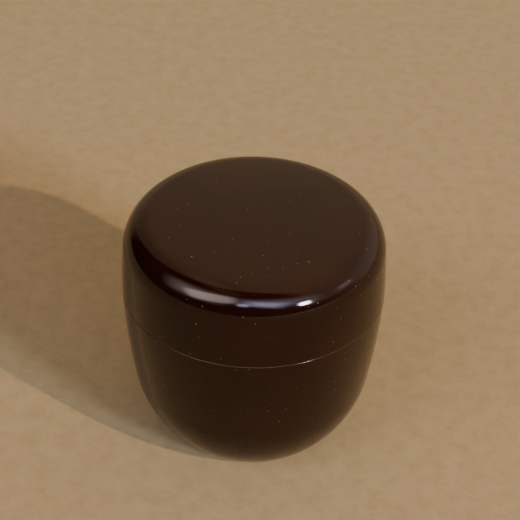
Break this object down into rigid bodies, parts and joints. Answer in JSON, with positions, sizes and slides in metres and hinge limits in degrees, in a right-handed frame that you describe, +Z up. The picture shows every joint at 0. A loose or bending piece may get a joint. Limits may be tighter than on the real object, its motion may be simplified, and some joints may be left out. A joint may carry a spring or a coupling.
{
  "type": "tea caddy",
  "caption": "Round lacquered wooden caddy for powdered tea: a rounded cup on a small foot, with a domed lid that drops over the cup's raised lip.",
  "frame": {"origin": "centre of the ring that the caddy stands on", "axes": "+Z up along the axis that it was turned about, out through the lid; X and Y are alike because it is round"},
  "size_m": [0.066, 0.066, 0.066],
  "materials": {
    "lacquer_outside": "gloss",
    "lacquer_inside": "gloss",
    "wood": "matte"
  },
  "bodies": {
    "cup": {"cup_wood": "wood", "cup_outer_lacquer": "lacquer_outside", "foot_lacquer": "lacquer_outside", "cup_inner_lacquer": "lacquer_inside"},
    "lid": {"lid_wood": "wood", "lid_outer_lacquer": "lacquer_outside", "lid_inner_lacquer": "lacquer_inside"}
  },
  "joints": [
    {"name": "lid_lift", "type": "slide", "parent": "cup", "child": "lid", "axis": [0, 0, 1], "range_m": [0, 0.045]}
  ]
}
